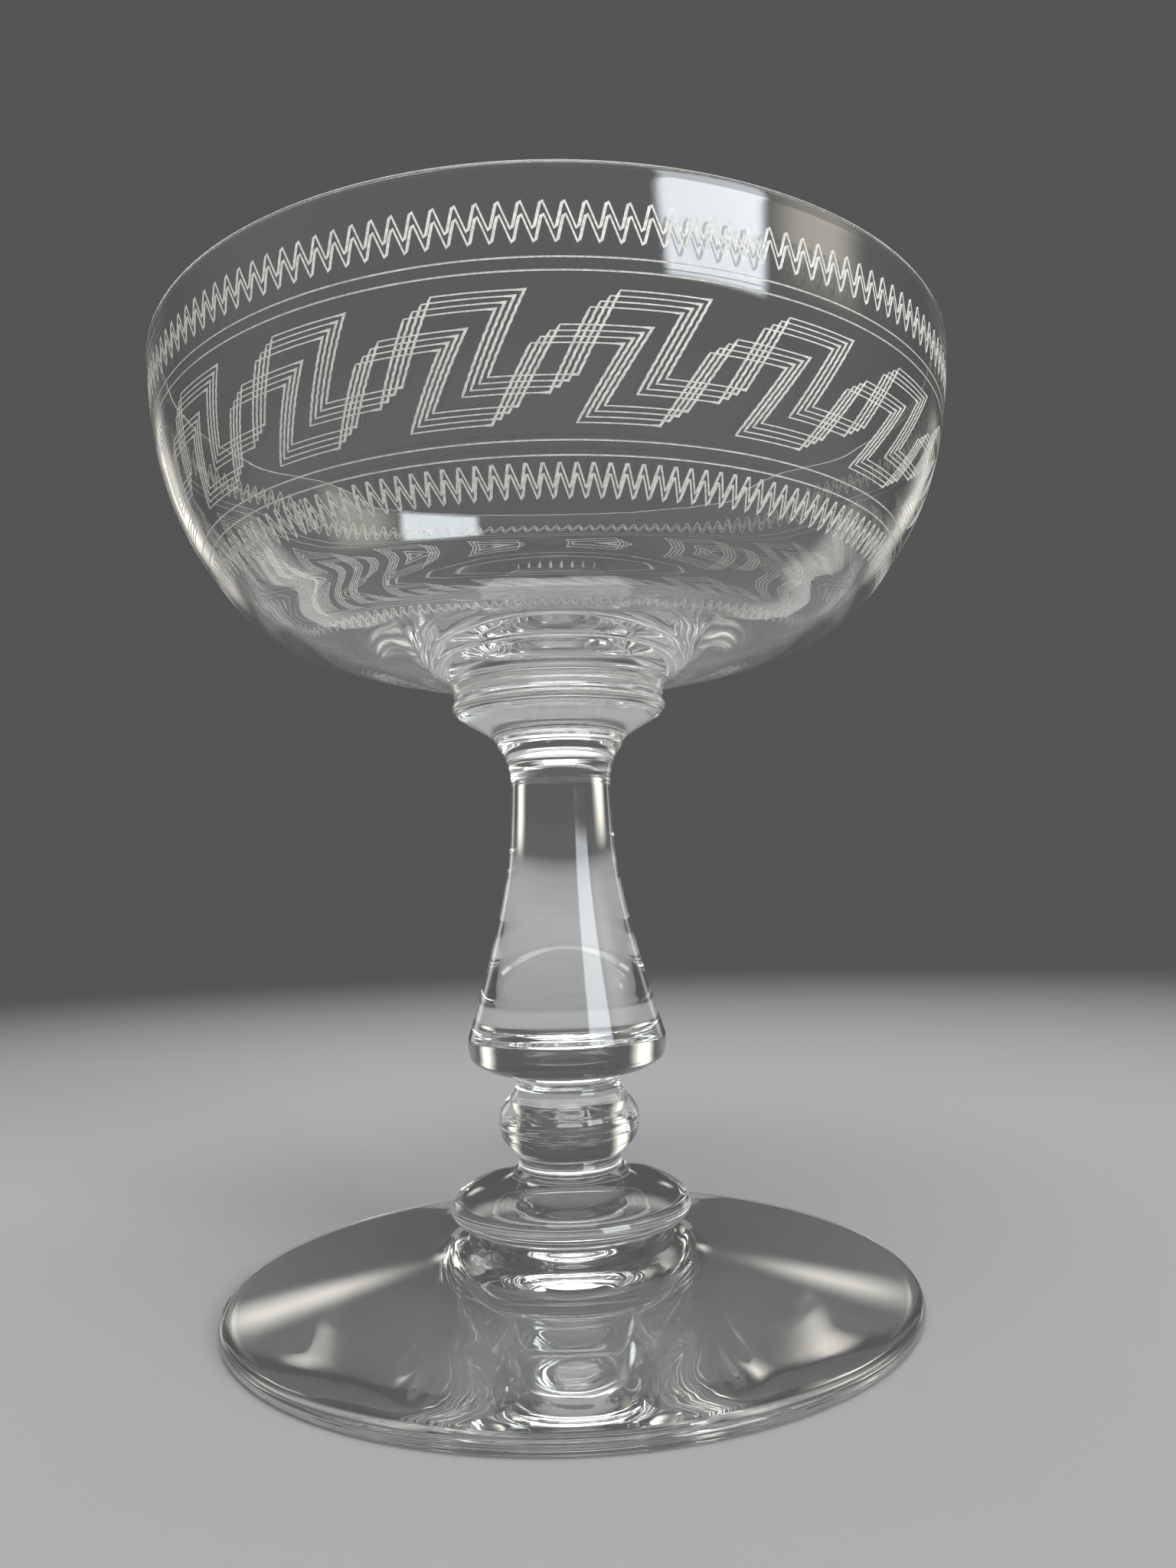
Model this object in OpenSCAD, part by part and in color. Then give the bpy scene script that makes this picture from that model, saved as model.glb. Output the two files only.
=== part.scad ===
// Coupe glass: a wide bowl on a collar, a baluster stem, a knop, a disc and a round foot.
// The origin is the middle of the foot on the table, and the axis of the glass is +Z.

/* [Bowl] */
// Diameter of the bowl at its rim
rim_d = 98; // [90:0.5:106]
// Height of the bowl above the collar
bowl_h = 37.5; // [33:0.5:43]
// Thickness of the wall at the rim
rim_wall = 1.2; // [0.9:0.1:1.8]
// Thickness of the floor at its middle
floor_wall = 4.6; // [4:0.1:5.6]
// Diameter of the round face where the bowl sits on the collar
seat_d = 26.6; // [25:0.2:29]
// Radius of the polished edges of the rim
rim_round = 0.4; // [0.2:0.05:0.45]

/* [Turned lines] */
// Width of each line cut round the bowl
line_w = 0.3; // [0.2:0.05:0.5]
// Depth of each line
line_depth = 0.08; // [0.04:0.02:0.16]
// Distance between the two lines of a pair
line_gap = 1.1; // [0.8:0.1:1.5]
// Distance from the rim down to the upper pair
upper_drop = 8.5; // [7:0.5:10]
// Distance from the rim down to the lower pair
lower_drop = 22.5; // [20:0.5:24]

/* [Collar] */
// Height of the collar under the bowl
collar_h = 6; // [5:0.1:7.5]
// Diameter of the bead round the collar
bead_d = 26.8; // [25:0.1:29]
// Depth of the groove above the bead
groove_depth = 0.45; // [0.2:0.05:0.8]
// Step at the lower edge of the collar, out from the head of the stem
collar_step = 0.3; // [0.1:0.05:0.6]

/* [Baluster] */
// Height of the baluster stem
baluster_h = 41.6; // [35:0.2:50]
// Diameter of the head under the collar
head_d = 15.8; // [14:0.2:18]
// Diameter of the waist, the thinnest place
waist_d = 12.4; // [10:0.2:14]
// Diameter of the belly, the widest place
belly_d = 24.2; // [20:0.2:28]
// Height of the rounded shoulder below the belly
shoulder_h = 3.8; // [3:0.1:5]
// Height of the head above the waist
head_h = 8.1; // [7:0.1:10]
// Diameter of the neck between the baluster and the knop
upper_neck_d = 12.6; // [10:0.2:14]

/* [Knop] */
// Height of the knop with its short necks
knop_h = 9; // [7.5:0.1:11]
// Diameter of the knop
knop_d = 17.1; // [15.5:0.1:19]
// Diameter of the neck between the knop and the disc
lower_neck_d = 12.2; // [10:0.2:14]

/* [Disc] */
// Height of the disc with the root of the neck above it
disc_h = 8.3; // [7:0.1:10.5]
// Diameter of the disc
disc_d = 28.8; // [26:0.1:33]
// Diameter of the round face where the disc sits on the foot
pad_d = 22.4; // [20:0.2:25]

/* [Foot] */
// Diameter of the foot
foot_d = 81; // [72:0.5:90]
// Height of the foot at its middle
foot_h = 7.6; // [6.5:0.1:9.5]
// Thickness of the foot at its rounded edge
edge_h = 1.6; // [1.2:0.1:2.6]
// Width of the flat ring that rests on the table
rest_w = 5; // [3:0.2:8]
// Depth of the hollow under the foot
hollow_depth = 3.2; // [2:0.1:4]

/* [Hidden] */

// Colour of the clear glass and how much of it shows
glass_tint = [0.84, 0.88, 0.86];
glass_alpha = 0.45;

// Flat steps round the axis, between two points of a curve, round an edge, and across the foot's hollow
round_steps = 120;
curve_steps = 4;
edge_steps = 5;
hollow_steps = 12;

// Angles at which round edges begin and end
quarter = 90;
foot_edge_end = 60;

rim_r = rim_d / 2;
seat_r = seat_d / 2;
bead_r = bead_d / 2;
head_r = head_d / 2;
waist_r = waist_d / 2;
belly_r = belly_d / 2;
upper_neck_r = upper_neck_d / 2;
knop_r = knop_d / 2;
lower_neck_r = lower_neck_d / 2;
disc_r = disc_d / 2;
pad_r = pad_d / 2;
foot_r = foot_d / 2;

// Heights of the joints, each piece standing on the one below
disc_z = foot_h;
knop_z = disc_z + disc_h;
baluster_z = knop_z + knop_h;
collar_z = baluster_z + baluster_h;
bowl_z = collar_z + collar_h;

// Outlines as [share of the way out, share of the way up] of the sizes named beside them
bowl_outer_shares = [
    [0, 0], [0.007, 0.019], [0.025, 0.039], [0.059, 0.055], [0.115, 0.065], [0.217, 0.08], [0.349, 0.108],
    [0.469, 0.138], [0.581, 0.177], [0.679, 0.237], [0.749, 0.304], [0.813, 0.387], [0.872, 0.477],
    [0.921, 0.575], [0.959, 0.689], [0.985, 0.825]
];
bowl_inner_shares = [
    [0, 0], [0.2, 0.003], [0.41, 0.022], [0.6, 0.066], [0.7, 0.12], [0.775, 0.187], [0.855, 0.32],
    [0.905, 0.425], [0.945, 0.54], [0.975, 0.68], [0.992, 0.83]
];
collar_cone_shares = [[0, 0], [0.06, 0.058], [0.2, 0.14], [0.72, 0.415], [0.89, 0.51], [1, 0.66]];
collar_top_shares = [0.78, 0.85, 0.9, 0.95];
head_shares = [[0, 0.2], [0.05, 0.4], [0.22, 0.6], [0.5, 0.74], [0.85, 0.86], [1, 0.92]];
swell_shares = [[1, 0.03], [0.955, 0.07], [0.83, 0.15], [0.54, 0.35], [0.265, 0.57], [0.075, 0.79]];
shoulder_shares = [[0.015, 0.1], [0.09, 0.18], [0.48, 0.27], [0.79, 0.48], [0.95, 0.72]];
knop_shares = [
    [0.03, 0.03], [0.37, 0.1], [0.78, 0.215], [0.96, 0.34], [1, 0.47], [0.93, 0.585], [0.63, 0.705],
    [0.2, 0.83], [0.06, 0.92]
];
disc_top_shares = [
    [1, 0.313], [0.946, 0.44], [0.8, 0.549], [0.62, 0.63], [0.4, 0.694],
    [0.22, 0.752], [0.1, 0.814], [0.03, 0.896]
];
disc_under_shares = [[0, 0], [0.188, 0.06], [0.5, 0.108], [0.813, 0.169], [0.969, 0.241]];
foot_top_shares = [
    [1, 0], [0.694, 0.213], [0.435, 0.407], [0.251, 0.556], [0.17, 0.639], [0.118, 0.741],
    [0.081, 0.861], [0.044, 0.954], [0, 1]
];

// Point a share t of the way from b to c on the smooth curve through a, b, c and d
function on_curve(a, b, c, d, t) =
    b + (c - a) * t / 2
    + (2 * a - 5 * b + 4 * c - d) * t * t / 2
    + (3 * b - a - 3 * c + d) * t * t * t / 2;

// Smooth curve through a list of points
function smooth(points) = concat(
    [for (i = [0 : len(points) - 2], k = [0 : curve_steps - 1])
        on_curve(points[max(i - 1, 0)], points[i], points[i + 1], points[min(i + 2, len(points) - 1)],
            k / curve_steps)],
    [points[len(points) - 1]]
);

// Points along a round edge, from one angle to another
function edge(centre, radius, from, to) = [
    for (k = [0 : edge_steps]) let (a = from + (to - from) * k / edge_steps)
        centre + radius * [cos(a), sin(a)]
];

// Points placed by shares between an inner and an outer radius, over a height that starts at a base
function placed(shares, inner, outer, base, height) = [
    for (s = shares) [inner + s[0] * (outer - inner), base + s[1] * height]
];

module turned(points) {
    rotate_extrude($fn = round_steps) polygon(points);
}

module glass() {
    color(glass_tint, glass_alpha) children();
}

function bowl_outside() = smooth(concat(
    placed(bowl_outer_shares, seat_r, rim_r, 0, bowl_h),
    [[rim_r, bowl_h - rim_round]]
));

function bowl_inside() = smooth(concat(
    placed(bowl_inner_shares, 0, rim_r - rim_wall, floor_wall, bowl_h - floor_wall),
    [[rim_r - rim_wall, bowl_h - rim_round]]
));

// Radius of the bowl's outside at a height above the collar
function outside_r(h) = lookup(h, [for (p = bowl_outside()) [p[1], p[0]]]);

// Cut for one turned line, square to the wall at a height above the collar
module line_cut(h) {
    below = [outside_r(h - line_w), h - line_w];
    above = [outside_r(h + line_w), h + line_w];
    along = (above - below) / norm(above - below);
    out = [along[1], -along[0]];
    middle = [outside_r(h), h];
    turned([
        middle - out * line_depth,
        middle + along * line_w / 2 + out * line_depth,
        middle - along * line_w / 2 + out * line_depth
    ]);
}

module bowl() {
    inside = bowl_inside();
    glass() translate([0, 0, bowl_z]) difference() {
        turned(concat(
            [[0, 0]],
            bowl_outside(),
            edge([rim_r - rim_round, bowl_h - rim_round], rim_round, 0, quarter),
            edge([rim_r - rim_wall + rim_round, bowl_h - rim_round], rim_round, quarter, 2 * quarter),
            [for (i = [len(inside) - 1 : -1 : 0]) inside[i]]
        ));
        for (drop = [upper_drop, lower_drop], pair = [0, 1]) line_cut(bowl_h - drop - pair * line_gap);
    }
}

module collar() {
    groove_r = bead_r - groove_depth;
    lip_r = bead_r - groove_depth / 2;
    glass() translate([0, 0, collar_z]) turned(concat(
        [[0, 0]],
        smooth(concat(
            placed(collar_cone_shares, head_r + collar_step, bead_r, 0, collar_h),
            [[lip_r, collar_top_shares[0] * collar_h]]
        )),
        [
            [groove_r, collar_top_shares[1] * collar_h],
            [lip_r, collar_top_shares[2] * collar_h],
            [lip_r, collar_top_shares[3] * collar_h],
            [seat_r, collar_h],
            [0, collar_h]
        ]
    ));
}

module baluster() {
    waist_h = baluster_h - head_h;
    glass() translate([0, 0, baluster_z]) turned(concat(
        [[0, 0]],
        smooth(concat(
            [[upper_neck_r, 0]],
            placed(shoulder_shares, upper_neck_r, belly_r, 0, shoulder_h),
            placed(swell_shares, waist_r, belly_r, shoulder_h, waist_h - shoulder_h),
            placed(head_shares, waist_r, head_r, waist_h, head_h),
            [[head_r, baluster_h]]
        )),
        [[0, baluster_h]]
    ));
}

module knop() {
    glass() translate([0, 0, knop_z]) turned(concat(
        [[0, 0]],
        smooth(concat(
            [[lower_neck_r, 0]],
            [for (s = knop_shares) let (neck_r = lower_neck_r + s[1] * (upper_neck_r - lower_neck_r))
                [neck_r + s[0] * (knop_r - neck_r), s[1] * knop_h]],
            [[upper_neck_r, knop_h]]
        )),
        [[0, knop_h]]
    ));
}

module disc() {
    glass() translate([0, 0, disc_z]) turned(concat(
        [[0, 0]],
        smooth(concat(
            placed(disc_under_shares, pad_r, disc_r, 0, disc_h),
            placed(disc_top_shares, lower_neck_r, disc_r, 0, disc_h),
            [[lower_neck_r, disc_h]]
        )),
        [[0, disc_h]]
    ));
}

module foot() {
    edge_r = edge_h / 2;
    rest_out = foot_r - edge_r;
    rest_in = rest_out - rest_w;
    glass() turned(concat(
        [for (k = [0 : hollow_steps]) let (t = k / hollow_steps)
            [rest_in * t, hollow_depth * (1 + cos(2 * quarter * t)) / 2]],
        edge([rest_out, edge_r], edge_r, -quarter, foot_edge_end),
        smooth(placed(foot_top_shares, pad_r, foot_r - edge_h, edge_h, foot_h - edge_h)),
        [[0, foot_h]]
    ));
}

bowl();
collar();
baluster();
knop();
disc();
foot();
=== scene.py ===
"""Looks of the coupe glass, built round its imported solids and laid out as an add-on.

Every piece of glass is a surface of revolution worked out from an outline, and every etched line is a
fine ribbon carried along its path on the outside of the bowl. Lengths are in metres and +Z is up.
"""

import math

import bpy
import numpy as np
from bpy.props import FloatProperty, FloatVectorProperty, IntProperty, PointerProperty
from mathutils import Matrix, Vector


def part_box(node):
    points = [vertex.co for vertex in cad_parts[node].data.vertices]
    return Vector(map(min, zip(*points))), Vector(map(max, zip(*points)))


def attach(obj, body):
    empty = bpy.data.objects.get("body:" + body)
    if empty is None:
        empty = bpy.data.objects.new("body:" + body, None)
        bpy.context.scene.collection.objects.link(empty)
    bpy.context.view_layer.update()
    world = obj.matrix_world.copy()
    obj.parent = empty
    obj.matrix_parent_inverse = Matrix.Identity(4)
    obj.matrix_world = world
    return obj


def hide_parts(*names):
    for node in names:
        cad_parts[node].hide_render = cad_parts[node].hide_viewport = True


bl_info = {
    "name": "Coupe glass",
    "version": (1, 0, 0),
    "blender": (4, 5, 0),
    "location": "View3D > Sidebar > Coupe",
    "description": "Builds the looks of an etched coupe glass round its solids",
    "category": "Object",
}

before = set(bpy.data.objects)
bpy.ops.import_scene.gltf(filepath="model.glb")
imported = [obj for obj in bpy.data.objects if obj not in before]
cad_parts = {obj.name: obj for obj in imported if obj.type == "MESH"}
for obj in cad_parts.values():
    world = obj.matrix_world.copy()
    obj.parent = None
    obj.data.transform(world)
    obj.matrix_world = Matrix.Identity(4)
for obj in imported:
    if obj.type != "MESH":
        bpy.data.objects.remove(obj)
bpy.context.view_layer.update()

MM = 0.001
BODY = "root"

# Names of the finishes, by what they are for
CLEAR, HIDDEN, FROSTED, TOOLED, RINGED = 0, 1, 2, 3, 4
CLEAR_SLOT, ETCHED_SLOT = "clear_glass", "etched_glass"


def low(node):
    """Height of the underside of a CAD node."""
    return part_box(node)[0].z


def high(node):
    """Height of the top of a CAD node."""
    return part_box(node)[1].z


def reach(node):
    """Largest radius of a CAD node."""
    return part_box(node)[1].x


# ---------------------------------------------------------------- outlines

# Each outline is a list of (share of the way out, share of the way up) between the sizes named where it
# is used
BOWL_OUTSIDE = [
    (0, 0), (0.007, 0.019), (0.025, 0.039), (0.059, 0.055), (0.115, 0.065), (0.217, 0.08),
    (0.349, 0.108), (0.469, 0.138), (0.581, 0.177), (0.679, 0.237), (0.749, 0.304), (0.813, 0.387),
    (0.872, 0.477), (0.921, 0.575), (0.959, 0.689), (0.985, 0.825),
]
BOWL_INSIDE = [
    (0, 0), (0.2, 0.003), (0.41, 0.022), (0.6, 0.066), (0.7, 0.12), (0.775, 0.187),
    (0.855, 0.32), (0.905, 0.425), (0.945, 0.54), (0.975, 0.68), (0.992, 0.83),
]
COLLAR_CONE = [(0, 0), (0.06, 0.058), (0.2, 0.14), (0.72, 0.415), (0.89, 0.51), (1, 0.66)]
COLLAR_TOP = (0.78, 0.85, 0.9, 0.95)
HEAD = [(0, 0.2), (0.05, 0.4), (0.22, 0.6), (0.5, 0.74), (0.85, 0.86), (1, 0.92)]
SWELL = [(1, 0.03), (0.955, 0.07), (0.83, 0.15), (0.54, 0.35), (0.265, 0.57), (0.075, 0.79)]
SHOULDER = [(0.015, 0.1), (0.09, 0.18), (0.48, 0.27), (0.79, 0.48), (0.95, 0.72)]
KNOP = [
    (0.03, 0.03), (0.37, 0.1), (0.78, 0.215), (0.96, 0.34), (1, 0.47),
    (0.93, 0.585), (0.63, 0.705), (0.2, 0.83), (0.06, 0.92),
]
DISC_TOP = [
    (1, 0.313), (0.946, 0.44), (0.8, 0.549), (0.62, 0.63), (0.4, 0.694),
    (0.22, 0.752), (0.1, 0.814), (0.03, 0.896),
]
DISC_UNDER = [(0, 0), (0.188, 0.06), (0.5, 0.108), (0.813, 0.169), (0.969, 0.241)]
FOOT_TOP = [
    (1, 0), (0.694, 0.213), (0.435, 0.407), (0.251, 0.556), (0.17, 0.639), (0.118, 0.741),
    (0.081, 0.861), (0.044, 0.954), (0, 1),
]

# Steps of a curve between two points of its outline, and steps round an edge, a hollow and the axis
CURVE_STEPS, INSIDE_STEPS, GROOVE_STEPS, FINE_STEPS, WALL_STEPS = 8, 6, 4, 12, 24
EDGE_STEPS, HOLLOW_STEPS = 10, 39
ROUND_STEPS, STEM_ROUND_STEPS = 360, 240
SHARP_ANGLE = math.radians(35)
# The foot's rounded edge, from its underside up to where the top begins, in degrees
FOOT_EDGE_ANGLES = (-90, 60)


def smooth(points, steps=CURVE_STEPS):
    """Catmull-Rom curve through points: between b and c, with neighbours a and d, at share t it is
    b + (c - a) t / 2 + (2a - 5b + 4c - d) t^2 / 2 + (3b - a - 3c + d) t^3 / 2."""
    p = np.asarray(points, float)
    padded = np.concatenate([p[:1], p, p[-1:]])
    a, b, c, d = (padded[k: len(p) - 1 + k, None, :] for k in range(4))
    t = (np.arange(steps) / steps)[None, :, None]
    curve = b + (c - a) * t / 2
    curve = curve + (2 * a - 5 * b + 4 * c - d) * t**2 / 2 + (3 * b - a - 3 * c + d) * t**3 / 2
    return np.concatenate([curve.reshape(-1, 2), p[-1:]])


def placed(shares, inner, outer, base, height):
    """Points at shares of the way from an inner to an outer radius, and of a height above a base."""
    return np.asarray(shares, float) * [outer - inner, height] + [inner, base]


def edge(centre, radius, start, end):
    """Points on a circle round centre, from one angle to another, in degrees."""
    angle = np.radians(np.linspace(start, end, EDGE_STEPS + 1))
    return np.asarray(centre) + radius * np.stack([np.cos(angle), np.sin(angle)], 1)


def straight(start, end):
    """The two ends of a straight line."""
    return np.array([start, end], float)


# ---------------------------------------------------------------- meshes


def turned(name, stretches, steps, materials):
    """Closed surface of revolution. The outline runs in stretches of (points, finish), from the axis
    underneath, out and up, and back to the axis. A point at radius r and angle a is at
    (r cos a, r sin a, z). The ends on the axis are single vertices."""
    outline = [np.asarray(stretches[0][0], float)]
    finish = [np.full(len(stretches[0][0]) - 1, stretches[0][1])]
    for points, index in stretches[1:]:
        outline.append(np.asarray(points, float)[1:])
        finish.append(np.full(len(points) - 1, index))
    outline, finish = np.concatenate(outline), np.concatenate(finish)
    angle = np.arange(steps) * (2 * math.pi / steps)
    r, z = outline[1:-1, 0][:, None], outline[1:-1, 1][:, None]
    rings = np.stack([r * np.cos(angle), r * np.sin(angle), z + 0 * angle], 2)
    poles = np.array([[0, 0, outline[0, 1]], [0, 0, outline[-1, 1]]])
    points = np.concatenate([rings.reshape(-1, 3), poles])
    count = len(outline) - 2
    here = np.arange(steps)
    after = (here + 1) % steps
    row = (np.arange(count - 1) * steps)[:, None]
    quads = np.stack([row + here, row + after, row + steps + after, row + steps + here], 2).reshape(-1, 4)
    bottom, top = count * steps, count * steps + 1
    last = (count - 1) * steps
    under = np.stack([np.full(steps, bottom), after, here], 1)
    over = np.stack([last + here, last + after, np.full(steps, top)], 1)
    piece = new_piece(name, points, quads.tolist() + under.tolist() + over.tolist(), materials)
    index = np.concatenate([np.repeat(finish[1:-1], steps), np.repeat(finish[[0, -1]], steps)])
    piece.data.polygons.foreach_set("material_index", index.astype(np.int32))
    piece.data.set_sharp_from_angle(angle=SHARP_ANGLE)
    return piece


def new_piece(name, points, faces, materials):
    """Object at the origin with that mesh, smooth shaded."""
    mesh = bpy.data.meshes.new(name)
    mesh.from_pydata(np.asarray(points).tolist(), [], faces)
    mesh.polygons.foreach_set("use_smooth", np.ones(len(mesh.polygons), bool))
    for material in materials:
        mesh.materials.append(material)
    mesh.update()
    piece = bpy.data.objects.new(name, mesh)
    bpy.context.scene.collection.objects.link(piece)
    return piece


def fitted(piece, slot, *nodes):
    """The piece rides on the body and stands for the CAD nodes named, which it hides. The slot is not used.
    """
    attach(piece, BODY)
    if nodes:
        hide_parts(*nodes)
    return piece


# A corner is mitred to at most 1 / MITRE of the width. A ribbon stands a little proud of the wall, and is
# sunk into it.
MITRE = 0.5
PROUD, SUNK = 0.008 * MM, 0.03 * MM


def ribbons(name, lines, wall, materials):
    """Closed ribbons on the outside of the bowl, each a thin four-sided ring. A line is (angle, way, width)
    along its path, way being the distance down the wall from its top. The path is widened by half its width
    to each side, square to its direction, with mitred corners, and given a face above the wall and one
    inside it."""
    points, faces, first = [], [], 0
    for angle, way, width in lines:
        radius = wall(way)[0]
        ahead = np.stack([np.roll(angle, -1) - angle, np.roll(way, -1) - way], 1)
        ahead[-1, 0] += 2 * math.pi
        ahead[:, 0] *= radius
        ahead /= np.linalg.norm(ahead, axis=1)[:, None]
        behind = np.roll(ahead, 1, 0)
        across = np.stack([-(ahead + behind)[:, 1], (ahead + behind)[:, 0]], 1)
        across /= np.maximum(1 + (ahead * behind).sum(1), MITRE)[:, None]
        rails = []
        for side, depth in ((-1, PROUD), (1, PROUD), (1, -SUNK), (-1, -SUNK)):
            shift = side * across * width[:, None] / 2
            a, w = angle + shift[:, 0] / radius, way + shift[:, 1]
            r, z, out_r, out_z = wall(w)
            r, z = r + depth * out_r, z + depth * out_z
            rails.append(np.stack([r * np.cos(a), r * np.sin(a), z], 1))
        count = len(angle)
        points.append(np.concatenate(rails))
        here = np.arange(count)
        after = (here + 1) % count
        for k in range(len(rails)):
            a, b = first + k * count, first + (k + 1) % len(rails) * count
            faces.append(np.stack([a + here, b + here, b + after, a + after], 1))
        first += len(rails) * count
    piece = new_piece(name, np.concatenate(points), np.concatenate(faces).tolist(), materials)
    piece.data.set_sharp_from_angle(angle=SHARP_ANGLE)
    return piece


# ---------------------------------------------------------------- shader wiring


class Wire:
    """A socket of a node tree. Sums with wires and numbers add Math nodes to the tree."""

    def __init__(self, tree, socket):
        self.tree = tree
        self.socket = socket

    @staticmethod
    def node(tree, kind, settings=None, output=0, **inputs):
        """Adds a node: its settings come first, then the values or wires of its sockets, by name or by
        number as s0."""
        made = tree.nodes.new(kind)
        for key, value in (settings or {}).items():
            setattr(made, key, value)
        for key, value in inputs.items():
            numbered = key[0] == "s" and key[1:].isdigit()
            socket = made.inputs[int(key[1:]) if numbered else key.replace("_", " ")]
            if isinstance(value, Wire):
                tree.links.new(value.socket, socket)
            else:
                socket.default_value = value
        return Wire(tree, made.outputs[output]) if made.outputs else made

    def maths(self, operation, *values):
        """Math node of those values, in their order."""
        sockets = {f"s{k}": value for k, value in enumerate(values)}
        return Wire.node(self.tree, "ShaderNodeMath", {"operation": operation}, **sockets)

    def __rsub__(self, other):
        return self.maths("SUBTRACT", other, self)

    def __mul__(self, other):
        return self.maths("MULTIPLY", self, other)

    def __truediv__(self, other):
        return self.maths("DIVIDE", self, other)

    def __abs__(self):
        return self.maths("ABSOLUTE", self)

    def span(self, low_end, high_end):
        """0 below the low end, 1 above the high end, and a smooth step between them."""
        return Wire.node(
            self.tree, "ShaderNodeMapRange", {"interpolation_type": "SMOOTHSTEP"},
            Value=self, From_Min=low_end, From_Max=high_end,
        )


def blend(tree, share, first, second):
    """Mix of two colours."""
    return Wire.node(tree, "ShaderNodeMix", {"data_type": "RGBA"}, 2, s0=share, s6=first, s7=second)


def grey(level):
    """Neutral colour of that brightness."""
    return (level, level, level, 1)


def place_on(tree):
    """Place on the piece, in its own lengths."""
    return Wire.node(tree, "ShaderNodeTexCoord", output=3)


def new_material(name):
    """Empty material and its node tree, with the output node."""
    material = bpy.data.materials.new(name)
    material.use_nodes = True
    material.node_tree.nodes.clear()
    return material, material.node_tree


def surface(tree, shader):
    """Joins a shader to the material's output."""
    Wire.node(tree, "ShaderNodeOutputMaterial", Surface=shader)


# Depth of the waves at full strength, and their finer detail
WAVE_DEPTH, WAVE_DETAIL, WAVE_ROUGHNESS = 0.1 * MM, 1.5, 0.4
# Waves in a metre of the bowl, the stem and the ring marks, and how much closer they are along the axis
BOWL_WAVES, STEM_WAVES, RING_WAVES = (90.0, 2.5), (160.0, 2.5), (60.0, 26.0)
# Etching: spots and grains in a metre, finer detail of both, ends of the spots' span, and the grain's bump
BITE_SCALE, GRAIN_SCALE, ETCH_DETAIL, BITE_SPAN = 2600.0, 9000.0, 2.0, (0.35, 0.65)
GRAIN_STRENGTH, GRAIN_DEPTH, FROST_ROUGHNESS = 0.4, 0.01 * MM, 0.65


def clear_glass(name, finish, waviness, scale, flat):
    """Clear glass with a soft waviness of its surface, flattened so that it runs round the axis, as hand
    tools leave it."""
    material, tree = new_material(name)
    stretch = (scale, scale, scale * flat)
    place = Wire.node(tree, "ShaderNodeMapping", Vector=place_on(tree), Scale=stretch)
    wave = Wire.node(
        tree, "ShaderNodeTexNoise", Vector=place, Scale=1.0, Detail=WAVE_DETAIL, Roughness=WAVE_ROUGHNESS,
    )
    bump = Wire.node(tree, "ShaderNodeBump", Height=wave, Strength=waviness, Distance=WAVE_DEPTH)
    glass = Wire.node(
        tree, "ShaderNodeBsdfPrincipled", Base_Color=(*finish.tint, 1), Roughness=finish.polish,
        IOR=finish.ior, Transmission_Weight=1.0, Normal=bump,
    )
    surface(tree, glass)
    return material


def hidden_joint():
    """Face inside the glass, where two pieces are fused: light passes it unbent."""
    material, tree = new_material("fused_joint")
    surface(tree, Wire.node(tree, "ShaderNodeBsdfTransparent", Color=grey(1)))
    return material


def frosted_line(finish):
    """Etched line: whitish, matt and grainy, whiter where the needle bit deeper."""
    material, tree = new_material("frosted_line")
    bite, grain = (
        Wire.node(tree, "ShaderNodeTexNoise", Vector=place_on(tree), Scale=scale, Detail=ETCH_DETAIL)
        for scale in (BITE_SCALE, GRAIN_SCALE)
    )
    colour = blend(tree, bite.span(*BITE_SPAN), (*finish.frost_thin, 1), (*finish.frost, 1))
    bump = Wire.node(tree, "ShaderNodeBump", Height=grain, Strength=GRAIN_STRENGTH, Distance=GRAIN_DEPTH)
    frost = Wire.node(
        tree, "ShaderNodeBsdfPrincipled", Base_Color=colour, Roughness=FROST_ROUGHNESS, Normal=bump,
    )
    surface(tree, frost)
    return material


# ---------------------------------------------------------------- sizes and colours


DIGITS = 5


def length(name, description, default):
    """Property that holds a length."""
    return FloatProperty(name=name, description=description, default=default, unit="LENGTH", precision=DIGITS)


def strength(name, description, default):
    """Property that holds a strength from 0 to 1."""
    return FloatProperty(name=name, description=description, default=default, min=0, max=1)


def repeats(name, description, default):
    """Property that holds a number of repeats."""
    return IntProperty(name=name, description=description, default=default, min=3)


def shade(name, description, default):
    """Property that holds a colour."""
    return FloatVectorProperty(
        name=name, description=description, subtype="COLOR", size=3, min=0, max=1, default=default,
    )


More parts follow.
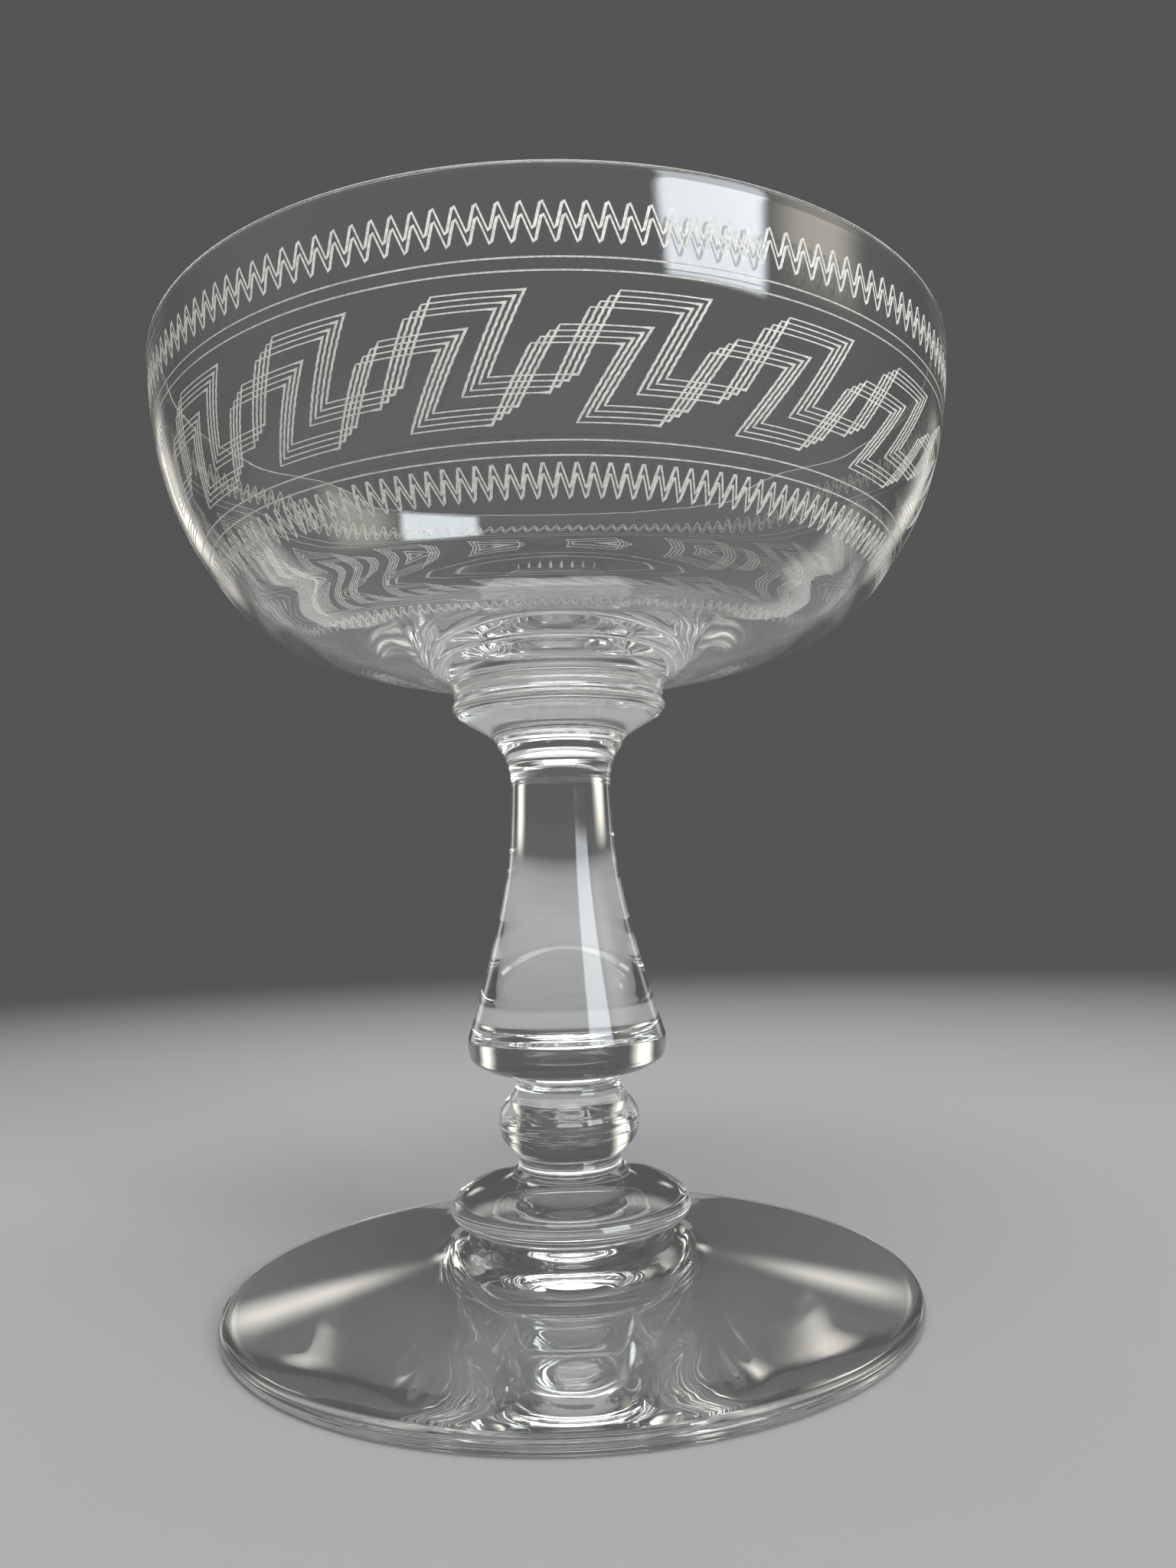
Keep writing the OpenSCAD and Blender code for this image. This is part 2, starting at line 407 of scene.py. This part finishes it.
class CoupeSizes(bpy.types.PropertyGroup):
    """Sizes of the glass that its box doesn't give."""

    rim_wall: length("Rim wall", "Thickness of the wall at the rim", 1.2 * MM)
    rim_round: length("Rim rounding", "Radius of the polished edges of the rim", 0.4 * MM)
    floor_wall: length("Floor wall", "Thickness of the bowl's floor at its middle", 4.6 * MM)
    seat_radius: length("Seat radius", "Radius of the face where the bowl sits on the collar", 13.3 * MM)
    bead_radius: length("Bead radius", "Radius of the bead round the collar", 13.4 * MM)
    groove_depth: length("Groove depth", "Depth of the groove above the bead", 0.45 * MM)
    collar_step: length("Collar step", "Step out from the head of the stem to the collar", 0.3 * MM)
    head_radius: length("Head radius", "Radius of the head of the stem", 7.9 * MM)
    head_height: length("Head height", "Height of the head above the waist", 8.1 * MM)
    waist_radius: length("Waist radius", "Radius of the stem's thinnest place", 6.2 * MM)
    shoulder_height: length("Shoulder height", "Height of the rounded shoulder below the belly", 3.8 * MM)
    upper_neck: length("Upper neck radius", "Radius of the neck between the baluster and the knop", 6.3 * MM)
    lower_neck: length("Lower neck radius", "Radius of the neck between the knop and the disc", 6.1 * MM)
    pad_radius: length("Pad radius", "Radius of the face where the disc sits on the foot", 11.2 * MM)
    foot_edge: length("Foot edge", "Thickness of the foot at its rounded edge", 1.6 * MM)
    rest_width: length("Rest width", "Width of the ring that rests on the table", 5.0 * MM)
    hollow_depth: length("Hollow depth", "Depth of the hollow under the foot", 3.2 * MM)


class CoupeEtching(bpy.types.PropertyGroup):
    """Sizes of the etched bands."""

    upper_lines: length("Upper lines", "Drop from the rim to the upper pair of turned lines", 8.5 * MM)
    lower_lines: length("Lower lines", "Drop from the rim to the lower pair of turned lines", 22.5 * MM)
    line_gap: length("Line gap", "Distance between the two lines of a pair", 1.1 * MM)
    line_depth: length("Line depth", "Depth of a turned line", 0.08 * MM)
    line_width: length("Line width", "Width of a turned line", 0.15 * MM)
    upper_teeth: repeats("Upper teeth", "Teeth of the upper zigzag band", 160)
    lower_teeth: repeats("Lower teeth", "Teeth of the lower zigzag band", 168)
    key_units: repeats("Key units", "Repeats of the key pattern round the bowl", 18)


class CoupeFinish(bpy.types.PropertyGroup):
    """Colours and finishes."""

    tint: shade("Glass tint", "Colour of the clear glass", (0.975, 0.985, 0.975))
    ior: FloatProperty(
        name="Index", description="How much the glass bends light", default=1.52, min=1.0, max=2.0,
    )
    polish: strength("Roughness", "Roughness of the clear glass", 0.0)
    bowl_waviness: strength("Bowl waviness", "Strength of the waves in the bowl's surface", 0.005)
    stem_waviness: strength("Stem waviness", "Strength of the waves in the stem's surface", 0.09)
    ring_marks: strength("Ring marks", "Strength of the rings that tools left on the knop", 0.9)
    frost: shade("Etched lines", "Colour of the etched lines where they are deep", (0.96, 0.945, 0.88))
    frost_thin: shade("Thin etching", "Colour of the etched lines where they are faint", (0.72, 0.71, 0.66))
    floor: shade("Floor", "Colour of the floor", (0.42, 0.42, 0.425))


def settings():
    """The three property groups of the scene."""
    scene = bpy.context.scene
    return scene.coupe_sizes, scene.coupe_etching, scene.coupe_finish


def materials():
    """The finishes in the order of their numbers, made once."""
    finish = settings()[2]
    glass = [
        bpy.data.materials.get(name) or clear_glass(name, finish, waviness, scale, flat)
        for name, waviness, (scale, flat) in (
            ("blown_glass", finish.bowl_waviness, BOWL_WAVES),
            ("tooled_glass", finish.stem_waviness, STEM_WAVES),
            ("ringed_glass", finish.ring_marks, RING_WAVES),
        )
    ]
    joint = bpy.data.materials.get("fused_joint") or hidden_joint()
    frost = bpy.data.materials.get("frosted_line") or frosted_line(finish)
    return glass[0], joint, frost, glass[1], glass[2]


# ---------------------------------------------------------------- the bowl's wall


def bowl_outside(size, steps=WALL_STEPS):
    """Outline of the bowl's outside, from its seat up to the rim's rounding."""
    base, rim = low("bowl"), high("bowl")
    points = placed(BOWL_OUTSIDE, size.seat_radius, reach("bowl"), base, rim - base)
    return smooth(np.concatenate([points, [[reach("bowl"), rim - size.rim_round]]]), steps)


def bowl_inside(size):
    """Outline of the bowl's inside, from the middle of its floor up to the rim's rounding."""
    base, rim, radius = low("bowl") + size.floor_wall, high("bowl"), reach("bowl") - size.rim_wall
    points = placed(BOWL_INSIDE, 0, radius, base, rim - base)
    return smooth(np.concatenate([points, [[radius, rim - size.rim_round]]]), INSIDE_STEPS)


def wall_from(outline):
    """Function that gives radius, height and outward direction at a distance down the wall from its top."""
    down = outline[::-1]
    way = np.concatenate([[0], np.cumsum(np.linalg.norm(np.diff(down, axis=0), axis=1))])
    slope = np.gradient(down, way, axis=0)
    slope /= np.linalg.norm(slope, axis=1)[:, None]

    def wall(w):
        r, z = np.interp(w, way, down[:, 0]), np.interp(w, way, down[:, 1])
        return r, z, -np.interp(w, way, slope[:, 1]), np.interp(w, way, slope[:, 0])

    wall.at_height = lambda z: float(np.interp(-z, -down[:, 1], way))
    return wall


# ---------------------------------------------------------------- operators


class COUPE_OT_bowl(bpy.types.Operator):
    """Builds the blown bowl with its ground rim and four turned lines"""

    bl_idname = "coupe.bowl"
    bl_label = "Bowl"

    def execute(self, context):
        size, etching, _ = settings()
        outside, rim, radius = bowl_outside(size, CURVE_STEPS), high("bowl"), reach("bowl")
        wall = wall_from(bowl_outside(size))
        pairs = (etching.lower_lines, etching.upper_lines)
        drops = [drop + k * etching.line_gap for drop in pairs for k in (1, 0)]
        stretches, rest = [(straight((0, low("bowl")), outside[0]), HIDDEN)], outside
        for drop in drops:
            middle = wall.at_height(rim - drop)
            ways = np.array([middle + etching.line_width / 2, middle, middle - etching.line_width / 2])
            r, z, out_r, out_z = wall(ways)
            cut = np.stack([r, z], 1)
            cut[1] -= etching.line_depth * np.array([out_r[1], out_z[1]])
            stretches += [
                (np.concatenate([rest[rest[:, 1] < cut[0, 1]], cut[:1]]), CLEAR),
                (cut, FROSTED),
            ]
            rest = np.concatenate([cut[2:], rest[rest[:, 1] > cut[2, 1]]])
        inner, level = radius - size.rim_wall, rim - size.rim_round
        round_out = edge((radius - size.rim_round, level), size.rim_round, 0, 90)
        round_in = edge((inner + size.rim_round, level), size.rim_round, 90, 180)
        inside = bowl_inside(size)[::-1]
        stretches += [(np.concatenate([rest, round_out[1:], round_in[1:], inside[1:]]), CLEAR)]
        fitted(turned("bowl_clear", stretches, ROUND_STEPS, materials()), CLEAR_SLOT, "bowl")
        return {"FINISHED"}


def stem_piece(node, side, finish):
    """Turned piece between two fused joints, which stands for the CAD node of its name."""
    bottom, top = (0, low(node)), (0, high(node))
    stretches = [(straight(bottom, side[0]), HIDDEN), (side, finish), (straight(side[-1], top), HIDDEN)]
    fitted(turned(f"{node}_clear", stretches, STEM_ROUND_STEPS, materials()), CLEAR_SLOT, node)


class COUPE_OT_collar(bpy.types.Operator):
    """Builds the collar with its bead and groove"""

    bl_idname = "coupe.collar"
    bl_label = "Collar"

    def execute(self, context):
        size = settings()[0]
        base, height = low("collar"), high("collar") - low("collar")
        start = size.head_radius + size.collar_step
        lip = size.bead_radius - size.groove_depth / 2
        level = [base + share * height for share in COLLAR_TOP]
        cone = placed(COLLAR_CONE, start, size.bead_radius, base, height)
        cone = smooth(np.concatenate([cone, [[lip, level[0]]]]))
        groove = np.array([
            cone[-1], (size.bead_radius - size.groove_depth, level[1]), (lip, level[2]), (lip, level[3]),
        ])
        side = np.concatenate([cone, smooth(groove, GROOVE_STEPS)[1:], [[size.seat_radius, base + height]]])
        stretches = [
            (straight((0, base), (size.head_radius, base)), HIDDEN),
            (straight((size.head_radius, base), (start, base)), TOOLED),
            (side, TOOLED),
            (straight(side[-1], (0, base + height)), HIDDEN),
        ]
        fitted(turned("collar_clear", stretches, STEM_ROUND_STEPS, materials()), CLEAR_SLOT, "collar")
        return {"FINISHED"}


class COUPE_OT_baluster(bpy.types.Operator):
    """Builds the baluster stem with its head and shoulder"""

    bl_idname = "coupe.baluster"
    bl_label = "Baluster"

    def execute(self, context):
        size = settings()[0]
        base, height = low("baluster"), high("baluster") - low("baluster")
        belly, waist = reach("baluster"), height - size.head_height
        side = smooth(np.concatenate([
            [[size.upper_neck, base]],
            placed(SHOULDER, size.upper_neck, belly, base, size.shoulder_height),
            placed(
                SWELL, size.waist_radius, belly, base + size.shoulder_height, waist - size.shoulder_height,
            ),
            placed(HEAD, size.waist_radius, size.head_radius, base + waist, size.head_height),
            [[size.head_radius, base + height]],
        ]))
        stem_piece("baluster", side, TOOLED)
        return {"FINISHED"}


class COUPE_OT_knop(bpy.types.Operator):
    """Builds the knop between two short necks"""

    bl_idname = "coupe.knop"
    bl_label = "Knop"

    def execute(self, context):
        size = settings()[0]
        base, height = low("knop"), high("knop") - low("knop")
        share = np.asarray(KNOP, float)
        neck = size.lower_neck + share[:, 1] * (size.upper_neck - size.lower_neck)
        bead = np.stack([neck + share[:, 0] * (reach("knop") - neck), base + share[:, 1] * height], 1)
        ends = [[size.lower_neck, base]], [[size.upper_neck, base + height]]
        side = smooth(np.concatenate([ends[0], bead, ends[1]]), FINE_STEPS)
        stem_piece("knop", side, RINGED)
        return {"FINISHED"}


class COUPE_OT_disc(bpy.types.Operator):
    """Builds the domed disc that stands on the foot"""

    bl_idname = "coupe.disc"
    bl_label = "Disc"

    def execute(self, context):
        size = settings()[0]
        base, height = low("disc"), high("disc") - low("disc")
        radius = reach("disc")
        side = smooth(np.concatenate([
            placed(DISC_UNDER, size.pad_radius, radius, base, height),
            placed(DISC_TOP, size.lower_neck, radius, base, height),
            [[size.lower_neck, base + height]],
        ]))
        stem_piece("disc", side, TOOLED)
        return {"FINISHED"}


class COUPE_OT_foot(bpy.types.Operator):
    """Builds the foot with its rounded edge and hollow underside"""

    bl_idname = "coupe.foot"
    bl_label = "Foot"

    def execute(self, context):
        size = settings()[0]
        radius, top, edge_height = reach("foot"), high("foot"), size.foot_edge
        rest_out = radius - edge_height / 2
        way = np.linspace(0, 1, HOLLOW_STEPS + 1)
        rise = (1 + np.cos(way * math.pi)) / 2
        hollow = np.stack([(rest_out - size.rest_width) * way, size.hollow_depth * rise], 1)
        slope = placed(FOOT_TOP, size.pad_radius, radius - edge_height, edge_height, top - edge_height)
        rounding = edge((rest_out, edge_height / 2), edge_height / 2, *FOOT_EDGE_ANGLES)
        stretches = [
            (np.concatenate([hollow, rounding, smooth(slope, FINE_STEPS)]), TOOLED),
            (straight((size.pad_radius, top), (0, top)), HIDDEN),
        ]
        fitted(turned("foot_clear", stretches, ROUND_STEPS, materials()), CLEAR_SLOT, "foot")
        return {"FINISHED"}


# ---------------------------------------------------------------- etched bands

# Angle round the axis of the side that faces the camera
FRONT = -math.pi / 2

# Zigzag bands: heights of the tips and of the hollows of the first line, and drop of the second line. Lean
# is the second line's turn round the bowl and turn is the angle of one tip, in degrees. Rise is the share of
# a tooth in which the line climbs.
UPPER_BAND = {
    "name": "zigzag_upper", "tip": 106.2 * MM, "hollow": 103.92 * MM, "drop": 1.15 * MM,
    "lean": 0.1, "turn": -0.53, "rise": 0.37,
}
LOWER_BAND = {
    "name": "zigzag_lower", "tip": 85.8 * MM, "hollow": 84.05 * MM, "drop": 0.8 * MM,
    "lean": 0.0, "turn": -1.29, "rise": 0.35,
}
TOOTH_STEPS = 8
# Widths of a climbing and a falling side, and share of a tooth over which a tip is rounded
THICK, THIN, ROUNDING = 0.28 * MM, 0.17 * MM, 0.065


def zigzag(wall, teeth, band):
    """Two lines of leaning teeth. In one tooth the line climbs for a share of the turn called rise and falls
    for the rest. Its tips are rounded by taking the mean of the saw at three nearby places."""
    turn = (np.arange(teeth * TOOTH_STEPS) + 0.5) / TOOTH_STEPS
    rise, tooth = band["rise"], 2 * math.pi / teeth

    def saw(t):
        t = t % 1
        return np.where(t < rise, t / rise, (1 - t) / (1 - rise))

    level = saw(turn - ROUNDING) + saw(turn) + saw(turn + ROUNDING)
    level = (level - level.min()) / np.ptp(level)
    tip, hollow = wall.at_height(band["tip"]), wall.at_height(band["hollow"])
    drop = wall.at_height(band["tip"] - band["drop"]) - tip
    width = np.where((turn % 1) < rise, THICK, THIN)
    lines = []
    for k in (0, 1):
        start = FRONT + math.radians(band["turn"] + k * band["lean"]) - rise * tooth
        lines.append((start + turn * tooth, hollow + (tip - hollow) * level + k * drop, width))
    return lines


class COUPE_OT_zigzags(bpy.types.Operator):
    """Builds the two etched bands of zigzag lines"""

    bl_idname = "coupe.zigzags"
    bl_label = "Zigzag bands"

    def execute(self, context):
        size, etching, _ = settings()
        wall = wall_from(bowl_outside(size))
        for teeth, band in ((etching.upper_teeth, UPPER_BAND), (etching.lower_teeth, LOWER_BAND)):
            lines = zigzag(wall, teeth, band)
            fitted(ribbons(band["name"], lines, wall, [materials()[FROSTED]]), ETCHED_SLOT)
        return {"FINISHED"}


# Key band: first line of each of two groups of four. Heights of its upper and lower bars, and slant of its
# uprights and angle of one corner, in degrees
KEY_GROUPS = (
    {"name": "key_upper", "top": 98.86 * MM, "bottom": 92.25 * MM, "slant": 4.5, "turn": -2.45},
    {"name": "key_lower", "top": 96.05 * MM, "bottom": 90.0 * MM, "slant": 5.0, "turn": -8.85},
)
# Each further line is turned by so many degrees and set so far down the wall
KEY_LINES, KEY_STEP = 4, (-1.05, 0.49 * MM)
BAR_STEPS, UPRIGHT_STEPS = 8, 20
BAR_WIDTH, UPRIGHT_WIDTH = 0.12 * MM, 0.25 * MM
# Reach and length of a wave of the uprights' tremble, and how fast it dies away at their ends
TREMBLE, TREMBLE_LENGTH, TREMBLE_POWER = 0.05 * MM, 0.78 * MM, 0.5


def key_line(wall, units, group, number):
    """One line of the key: a wave of upper bar, slanting upright down, lower bar and slanting upright up.
    The uprights tremble by a sine of the distance along them, as the needles did."""
    unit = 2 * math.pi / units
    slant = math.radians(group["slant"])
    top, bottom = wall.at_height(group["top"]), wall.at_height(group["bottom"])
    bar, upright = np.arange(BAR_STEPS) / BAR_STEPS, np.arange(UPRIGHT_STEPS) / UPRIGHT_STEPS
    calm = np.sin(math.pi * upright) ** TREMBLE_POWER
    wobble = TREMBLE * calm * np.sin(upright * (bottom - top) * 2 * math.pi / TREMBLE_LENGTH)
    wobble /= reach("bowl")
    angle = np.concatenate([
        -unit / 2 + bar * unit / 2, wobble - upright * slant,
        -slant + bar * unit / 2, wobble + unit / 2 - slant + upright * slant,
    ])
    way = np.concatenate([
        top + 0 * bar, top + upright * (bottom - top), bottom + 0 * bar, bottom + upright * (top - bottom),
    ])
    width = np.concatenate([BAR_WIDTH + 0 * bar, UPRIGHT_WIDTH + 0 * upright] * 2)
    angle = angle[None, :] + (np.arange(units) * unit)[:, None]
    start = FRONT + math.radians(group["turn"] + number * KEY_STEP[0])
    return start + angle.ravel(), np.tile(way + number * KEY_STEP[1], units), np.tile(width, units)


class COUPE_OT_key(bpy.types.Operator):
    """Builds the etched key band, two groups of four lines"""

    bl_idname = "coupe.key"
    bl_label = "Key band"

    def execute(self, context):
        size, etching, _ = settings()
        wall = wall_from(bowl_outside(size))
        for group in KEY_GROUPS:
            lines = [key_line(wall, etching.key_units, group, k) for k in range(KEY_LINES)]
            fitted(ribbons(group["name"], lines, wall, [materials()[FROSTED]]), ETCHED_SLOT)
        return {"FINISHED"}


# ---------------------------------------------------------------- stage

# Camera, as the photograph was taken: focal length in pixels of a 2048-pixel side, place, and angles
FOCAL_PIXELS, LONG_SIDE = 1437.0, 2048.0
CAMERA_PLACE = (0.0, -137.55 * MM, 46.64 * MM)
CAMERA_YAW, CAMERA_PITCH, CAMERA_ROLL = 1.423, 5.883, -1.604
SENSOR, NEAREST = 36.0, 0.005
BACKDROP, FRONT_LIGHT, OVERHEAD = 0.09, 0.5, 1.5
# Directions in which the front light and the overhead light come in, as the direction's y and z
FRONT_SPAN, OVERHEAD_SPAN = (-0.35, 0.45), (0.75, 0.97)
# The floor's size, the distances between which it fades, how far it is below the foot, and its corners
FLOOR_RADIUS, FLOOR_FADE, FLOOR_GAP, FLOOR_SIDES = 0.6, (0.12, 0.58), 0.02 * MM, 96
FLOOR_ROUGHNESS, FLOOR_SHINE = 0.9, 0.1
# Lamp: azimuth, elevation, distance, width, height and radiance
LAMP = (0, 62, 1.2, 0.8, 0.6, 3.2)
LAMP_AIM = (0, 0, 0.06)
# How often light may turn inside the glass, and how often it may pass a fused joint
BOUNCES, JOINT_BOUNCES = 24, 32
# A window is seen only ahead of it, where the direction's share along its middle passes this span
AHEAD_SPAN = (0.3, 0.5)
# Soft-edged windows: azimuth, elevation, half width, half height and margin as slopes, and their light
WINDOWS = (
    ((42.5, 21.5, 0.23, 0.19, 0.03), (8.0, 8.5, 8.9, 1)),
    ((74, 26, 0.18, 0.12, 0.12), (2.6, 2.45, 2.1, 1)),
    ((-142, 8, 0.1, 0.15, 0.12), (2.0, 1.9, 1.7, 1)),
    ((138, 4, 0.08, 0.15, 0.1), (1.6, 1.55, 1.4, 1)),
)
# Windows behind the glass, which only mirrored light shows
BACK_WINDOWS = (
    ((-160.5, 18.5, 0.06, 0.035, 0.04), (3.2, 3.1, 2.8, 1)),
    ((161, 18.5, 0.045, 0.03, 0.04), (3.0, 2.9, 2.6, 1)),
    ((180, 52, 1.0, 0.16, 0.14), (3.0, 2.95, 2.8, 1)),
)


def camera_matrix():
    """Columns are the camera's right, up and backward directions and its place."""
    yaw, pitch, roll = (math.radians(a) for a in (CAMERA_YAW, CAMERA_PITCH, CAMERA_ROLL))
    ahead = np.array([math.sin(yaw) * math.cos(pitch), math.cos(yaw) * math.cos(pitch), math.sin(pitch)])
    right = np.array([math.cos(yaw), -math.sin(yaw), 0.0])
    up = np.cross(right, ahead)
    turned_right = math.cos(roll) * right + math.sin(roll) * up
    turned_up = math.cos(roll) * up - math.sin(roll) * right
    matrix = np.eye(4)
    matrix[:3, :3] = np.stack([turned_right, turned_up, -ahead], 1)
    matrix[:3, 3] = CAMERA_PLACE
    return Matrix(matrix.tolist())


def area_lamp(name, azimuth, elevation, distance, width, height, radiance):
    """Flat lamp that faces the middle of the glass. Azimuth 0 is the camera's side and 90 is +X. Its power
    gives that radiance: watts = radiance * pi * area."""
    lamp = bpy.data.lights.new(name, "AREA")
    lamp.shape = "RECTANGLE"
    lamp.size, lamp.size_y = width, height
    lamp.energy = radiance * math.pi * width * height
    a, e = math.radians(azimuth), math.radians(elevation)
    back = np.array([math.sin(a) * math.cos(e), -math.cos(a) * math.cos(e), math.sin(e)])
    side = np.array([math.cos(a), math.sin(a), 0.0])
    matrix = np.eye(4)
    matrix[:3, :3] = np.stack([side, np.cross(back, side), back], 1)
    matrix[:3, 3] = back * distance + LAMP_AIM
    holder = bpy.data.objects.new(name, lamp)
    bpy.context.scene.collection.objects.link(holder)
    holder.matrix_world = Matrix(matrix.tolist())


def glow(tree, way, azimuth, elevation, half_width, half_height, soft):
    """Share of a soft-edged window in the sky at a direction: with u and v the slopes of the direction to
    the side and up from the window's middle, it falls from 1 to 0 over a soft margin round |u| and |v| = the
    half sizes."""
    a, e = math.radians(azimuth), math.radians(elevation)
    ahead = (math.sin(a) * math.cos(e), -math.cos(a) * math.cos(e), math.sin(e))
    side = (math.cos(a), math.sin(a), 0.0)
    up = tuple(np.cross(ahead, side))

    def along(direction):
        return Wire.node(
            tree, "ShaderNodeVectorMath", {"operation": "DOT_PRODUCT"}, output=1, s0=way, s1=direction,
        )

    depth = along(ahead)
    seen = depth.span(*AHEAD_SPAN)
    for direction, half in ((side, half_width), (up, half_height)):
        slope = abs(along(direction) / depth)
        seen = seen * (1 - slope.span(half - soft, half + soft))
    return seen


def world_light():
    """A grey backdrop all round, also where glass shows it, soft light from the camera's side and overhead,
    and soft-edged windows that the camera doesn't see."""
    world = bpy.data.worlds.new("studio")
    world.use_nodes = True
    tree = world.node_tree
    tree.nodes.clear()
    way = Wire.node(tree, "ShaderNodeTexCoord", output=0)
    parts = tree.nodes.new("ShaderNodeSeparateXYZ")
    tree.links.new(way.socket, parts.inputs[0])
    y, z = (Wire(tree, parts.outputs[axis]) for axis in "YZ")
    path = tree.nodes.new("ShaderNodeLightPath").outputs
    seen, glossy, through = (
        Wire(tree, path[f"Is {kind} Ray"]) for kind in ("Camera", "Glossy", "Transmission")
    )
    colour = blend(tree, y.span(*FRONT_SPAN), grey(FRONT_LIGHT), grey(BACKDROP))
    colour = blend(tree, seen.maths("MAXIMUM", seen, through), colour, grey(BACKDROP))
    colour = blend(tree, z.span(*OVERHEAD_SPAN), colour, grey(OVERHEAD))
    for windows, shows in ((WINDOWS, 1 - seen), (BACK_WINDOWS, glossy * (1 - through))):
        for place, light in windows:
            colour = blend(tree, glow(tree, way, *place) * shows, colour, light)
    sky = Wire.node(tree, "ShaderNodeBackground", Color=colour, Strength=1.0)
    Wire.node(tree, "ShaderNodeOutputWorld", Surface=sky)
    bpy.context.scene.world = world


def floor_material(finish):
    """Matt pale floor that fades into the backdrop far from the glass."""
    material, tree = new_material("pale_floor")
    far = Wire.node(tree, "ShaderNodeVectorMath", {"operation": "LENGTH"}, output=1, s0=place_on(tree))
    matt = Wire.node(
        tree, "ShaderNodeBsdfPrincipled", Base_Color=(*finish.floor, 1), Roughness=FLOOR_ROUGHNESS,
        Specular_IOR_Level=FLOOR_SHINE,
    )
    nothing = Wire.node(tree, "ShaderNodeBsdfTransparent", Color=grey(1))
    surface(tree, Wire.node(tree, "ShaderNodeMixShader", s0=far.span(*FLOOR_FADE), s1=matt, s2=nothing))
    return material


class COUPE_OT_stage(bpy.types.Operator):
    """Sets out the floor, the light and the camera"""

    bl_idname = "coupe.stage"
    bl_label = "Stage"

    def execute(self, context):
        scene, finish = bpy.context.scene, settings()[2]
        angle = np.linspace(0, 2 * math.pi, FLOOR_SIDES, endpoint=False)
        x, y = FLOOR_RADIUS * np.cos(angle), FLOOR_RADIUS * np.sin(angle)
        ring = np.stack([x, y, 0 * angle - FLOOR_GAP], 1)
        new_piece("floor", ring, [list(range(FLOOR_SIDES))], [floor_material(finish)])
        world_light()
        area_lamp("soft_top", *LAMP)
        holder = bpy.data.objects.new("camera", bpy.data.cameras.new("camera"))
        scene.collection.objects.link(holder)
        holder.data.sensor_width = SENSOR
        holder.data.lens = SENSOR * FOCAL_PIXELS / LONG_SIDE
        holder.data.clip_start = NEAREST
        holder.matrix_world = camera_matrix()
        scene.camera = holder
        scene.view_settings.view_transform = "Standard"
        for kind in ("max", "transmission", "glossy"):
            setattr(scene.cycles, f"{kind}_bounces", BOUNCES)
        scene.cycles.transparent_max_bounces = JOINT_BOUNCES
        return {"FINISHED"}


# ---------------------------------------------------------------- panel and main


STEPS = (COUPE_OT_bowl, COUPE_OT_collar, COUPE_OT_baluster, COUPE_OT_knop, COUPE_OT_disc, COUPE_OT_foot,
         COUPE_OT_zigzags, COUPE_OT_key, COUPE_OT_stage)


class COUPE_PT_panel(bpy.types.Panel):
    """Lists the sizes, the finishes and the steps"""

    bl_idname = "COUPE_PT_panel"
    bl_label = "Coupe glass"
    bl_space_type = "VIEW_3D"
    bl_region_type = "UI"
    bl_category = "Coupe"

    def draw(self, context):
        for group in settings():
            box = self.layout.box()
            for key in group.bl_rna.properties.keys():
                if key not in ("rna_type", "name"):
                    box.prop(group, key)
        for step in STEPS:
            self.layout.operator(step.bl_idname)


GROUPS = {"coupe_sizes": CoupeSizes, "coupe_etching": CoupeEtching, "coupe_finish": CoupeFinish}


def register():
    for cls in (*GROUPS.values(), *STEPS, COUPE_PT_panel):
        bpy.utils.register_class(cls)
    for name, group in GROUPS.items():
        setattr(bpy.types.Scene, name, PointerProperty(type=group))


def unregister():
    for name in GROUPS:
        delattr(bpy.types.Scene, name)
    for cls in reversed((*GROUPS.values(), *STEPS, COUPE_PT_panel)):
        bpy.utils.unregister_class(cls)


def main():
    """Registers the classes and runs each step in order."""
    register()
    for step in STEPS:
        group, name = step.bl_idname.split(".")
        getattr(getattr(bpy.ops, group), name)()


if __name__ == "__main__":
    main()
